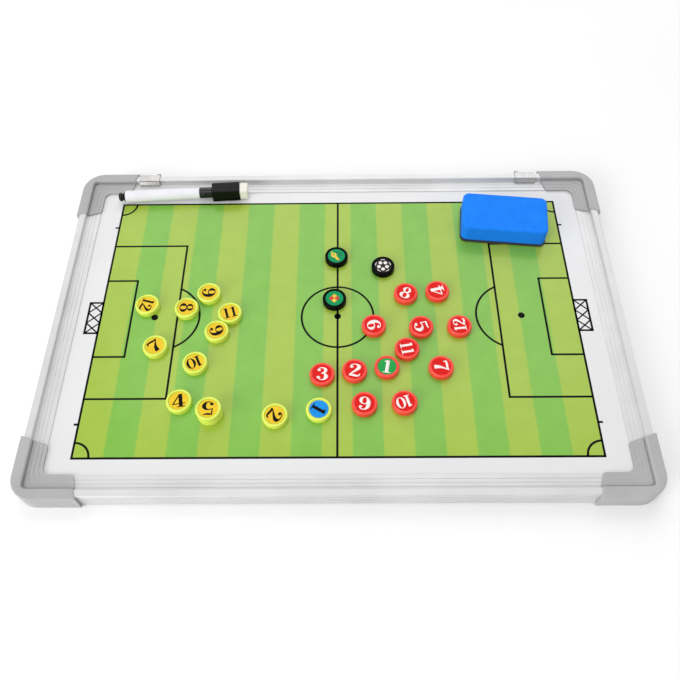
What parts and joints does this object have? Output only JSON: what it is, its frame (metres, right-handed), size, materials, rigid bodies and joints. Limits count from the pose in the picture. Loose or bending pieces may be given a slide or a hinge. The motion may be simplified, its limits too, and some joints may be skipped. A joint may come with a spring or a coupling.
{
  "type": "tactics board",
  "caption": "Magnetic football tactics board with an aluminium frame, printed pitch, sliding numbered counters, capped marker, foam eraser and hanger clips.",
  "frame": {"origin": "middle of the plane that the board lies on", "axes": "+X along the length, +Y towards the rail with the hanger clips, +Z out of the writing face"},
  "size_m": [0.4544, 0.305, 0.0287],
  "materials": {
    "satin_aluminium": "satin anodised",
    "grey_moulding": "fine moulded grain",
    "white_lacquer": "gloss lacquer with a printed pitch",
    "core_board": "raw fibreboard",
    "backing_steel": "thin grey coating",
    "zinc_steel": "bright zinc",
    "bright_plate": "bright nickel plate",
    "white_plastic": "gloss",
    "black_plastic": "gloss",
    "white_felt": "pressed felt",
    "dark_felt": "pressed felt",
    "ink_fibre": "inked fibre",
    "blue_foam": "closed-cell foam with a skin",
    "ferrite": "sintered",
    "red_plastic": "gloss",
    "yellow_plastic": "gloss"
  },
  "bodies": {
    "board": {"rail_top": "satin_aluminium", "rail_bottom": "satin_aluminium", "rail_left": "satin_aluminium", "rail_right": "satin_aluminium", "corner_cap_top_left": "grey_moulding", "corner_cap_top_right": "grey_moulding", "corner_cap_bottom_left": "grey_moulding", "corner_cap_bottom_right": "grey_moulding", "writing_sheet": "white_lacquer", "core_panel": "core_board", "backing_sheet": "backing_steel", "corner_screws": "zinc_steel"},
    "hanger_clip_left": {"hanger_clip_left": "bright_plate"},
    "hanger_clip_right": {"hanger_clip_right": "bright_plate"},
    "marker": {"marker_barrel": "white_plastic", "marker_end_plug": "black_plastic", "ink_reservoir": "ink_fibre", "marker_nib": "ink_fibre"},
    "marker_cap": {"marker_cap": "black_plastic", "cap_felt": "white_felt", "cap_magnet": "ferrite"},
    "eraser": {"eraser_foam": "blue_foam", "eraser_felt": "dark_felt", "eraser_magnet": "ferrite"},
    "yellow_counter_12": {"yellow_counter_12": "yellow_plastic"},
    "yellow_counter_08": {"yellow_counter_08": "yellow_plastic"},
    "yellow_counter_09": {"yellow_counter_09": "yellow_plastic"},
    "yellow_counter_11": {"yellow_counter_11": "yellow_plastic"},
    "yellow_counter_06": {"yellow_counter_06": "yellow_plastic"},
    "yellow_counter_07": {"yellow_counter_07": "yellow_plastic"},
    "yellow_counter_10": {"yellow_counter_10": "yellow_plastic"},
    "yellow_counter_04": {"yellow_counter_04": "yellow_plastic"},
    "yellow_counter_03": {"yellow_counter_03": "yellow_plastic"},
    "yellow_counter_02": {"yellow_counter_02": "yellow_plastic"},
    "yellow_counter_01": {"yellow_counter_01": "yellow_plastic"},
    "red_counter_08": {"red_counter_08": "red_plastic"},
    "red_counter_04": {"red_counter_04": "red_plastic"},
    "red_counter_09": {"red_counter_09": "red_plastic"},
    "red_counter_05": {"red_counter_05": "red_plastic"},
    "red_counter_12": {"red_counter_12": "red_plastic"},
    "red_counter_03": {"red_counter_03": "red_plastic"},
    "red_counter_02": {"red_counter_02": "red_plastic"},
    "red_counter_07": {"red_counter_07": "red_plastic"},
    "red_counter_06": {"red_counter_06": "red_plastic"},
    "red_counter_10": {"red_counter_10": "red_plastic"},
    "red_counter_11": {"red_counter_11": "red_plastic"},
    "red_counter_01": {"red_counter_01": "red_plastic"},
    "whistle_counter": {"whistle_counter": "black_plastic"},
    "flag_counter": {"flag_counter": "black_plastic"},
    "ball_counter": {"ball_counter": "black_plastic"},
    "yellow_counter_05": {"yellow_counter_05": "yellow_plastic"}
  },
  "joints": [
    {"name": "hanger_clip_left_slide", "type": "slide", "parent": "board", "child": "hanger_clip_left", "axis": [1, 0, 0], "range_m": [0, 0.13]},
    {"name": "hanger_clip_right_slide", "type": "slide", "parent": "board", "child": "hanger_clip_right", "axis": [-1, 0, 0], "range_m": [0, 0.13]},
    {"name": "marker_slide", "type": "slide", "parent": "board", "child": "marker", "axis": [1, 0, 0], "range_m": [0, 0.2]},
    {"name": "marker_cap_pull", "type": "slide", "parent": "marker", "child": "marker_cap", "axis": [0.9983, 0.0576, 0], "range_m": [0, 0.025]},
    {"name": "eraser_slide", "type": "slide", "parent": "board", "child": "eraser", "axis": [-1, 0, 0], "range_m": [-0.01, 0.11]},
    {"name": "yellow_counter_12_slide", "type": "slide", "parent": "board", "child": "yellow_counter_12", "axis": [0.7071, 0.7071, 0], "range_m": [0, 0.08]},
    {"name": "yellow_counter_08_slide", "type": "slide", "parent": "board", "child": "yellow_counter_08", "axis": [-0.5, 0.866, 0], "range_m": [0, 0.08]},
    {"name": "yellow_counter_09_slide", "type": "slide", "parent": "board", "child": "yellow_counter_09", "axis": [0, 1, 0], "range_m": [0, 0.08]},
    {"name": "yellow_counter_11_slide", "type": "slide", "parent": "board", "child": "yellow_counter_11", "axis": [0.7071, 0.7071, 0], "range_m": [0, 0.08]},
    {"name": "yellow_counter_06_slide", "type": "slide", "parent": "board", "child": "yellow_counter_06", "axis": [0.7071, -0.7071, 0], "range_m": [0, 0.07]},
    {"name": "yellow_counter_07_slide", "type": "slide", "parent": "board", "child": "yellow_counter_07", "axis": [0, -1, 0], "range_m": [0, 0.08]},
    {"name": "yellow_counter_10_slide", "type": "slide", "parent": "board", "child": "yellow_counter_10", "axis": [1, 0, 0], "range_m": [0, 0.07]},
    {"name": "yellow_counter_04_slide", "type": "slide", "parent": "board", "child": "yellow_counter_04", "axis": [-1, 0, 0], "range_m": [0, 0.07]},
    {"name": "yellow_counter_03_slide", "type": "slide", "parent": "board", "child": "yellow_counter_03", "axis": [0.866, -0.5, 0], "range_m": [0, 0.045]},
    {"name": "yellow_counter_02_slide", "type": "slide", "parent": "board", "child": "yellow_counter_02", "axis": [-0.866, -0.5, 0], "range_m": [0, 0.04]},
    {"name": "yellow_counter_01_slide", "type": "slide", "parent": "board", "child": "yellow_counter_01", "axis": [-0.7071, 0.7071, 0], "range_m": [0, 0.08]},
    {"name": "red_counter_08_slide", "type": "slide", "parent": "board", "child": "red_counter_08", "axis": [-1, 0, 0], "range_m": [0, 0.035]},
    {"name": "red_counter_04_slide", "type": "slide", "parent": "board", "child": "red_counter_04", "axis": [1, 0, 0], "range_m": [0, 0.08]},
    {"name": "red_counter_09_slide", "type": "slide", "parent": "board", "child": "red_counter_09", "axis": [-1, 0, 0], "range_m": [0, 0.08]},
    {"name": "red_counter_05_slide", "type": "slide", "parent": "board", "child": "red_counter_05", "axis": [0.7071, -0.7071, 0], "range_m": [0, 0.02]},
    {"name": "red_counter_12_slide", "type": "slide", "parent": "board", "child": "red_counter_12", "axis": [1, 0, 0], "range_m": [0, 0.08]},
    {"name": "red_counter_03_slide", "type": "slide", "parent": "board", "child": "red_counter_03", "axis": [-1, 0, 0], "range_m": [0, 0.07]},
    {"name": "red_counter_02_slide", "type": "slide", "parent": "board", "child": "red_counter_02", "axis": [-0.5, 0.866, 0], "range_m": [0, 0.05]},
    {"name": "red_counter_07_slide", "type": "slide", "parent": "board", "child": "red_counter_07", "axis": [1, 0, 0], "range_m": [0, 0.08]},
    {"name": "red_counter_06_slide", "type": "slide", "parent": "board", "child": "red_counter_06", "axis": [-0.7071, -0.7071, 0], "range_m": [0, 0.04]},
    {"name": "red_counter_10_slide", "type": "slide", "parent": "board", "child": "red_counter_10", "axis": [1, 0, 0], "range_m": [0, 0.08]},
    {"name": "red_counter_11_slide", "type": "slide", "parent": "board", "child": "red_counter_11", "axis": [0.2588, -0.9659, 0], "range_m": [0, 0.03]},
    {"name": "red_counter_01_slide", "type": "slide", "parent": "board", "child": "red_counter_01", "axis": [-0.7071, 0.7071, 0], "range_m": [0, 0.04]},
    {"name": "whistle_counter_slide", "type": "slide", "parent": "board", "child": "whistle_counter", "axis": [-0.866, 0.5, 0], "range_m": [0, 0.08]},
    {"name": "flag_counter_slide", "type": "slide", "parent": "board", "child": "flag_counter", "axis": [-0.7071, 0.7071, 0], "range_m": [0, 0.08]},
    {"name": "ball_counter_slide", "type": "slide", "parent": "board", "child": "ball_counter", "axis": [1, 0, 0], "range_m": [0, 0.08]},
    {"name": "yellow_counter_05_slide", "type": "slide", "parent": "yellow_counter_03", "child": "yellow_counter_05", "axis": [0.5, 0.866, 0], "range_m": [0, 0.009]}
  ]
}
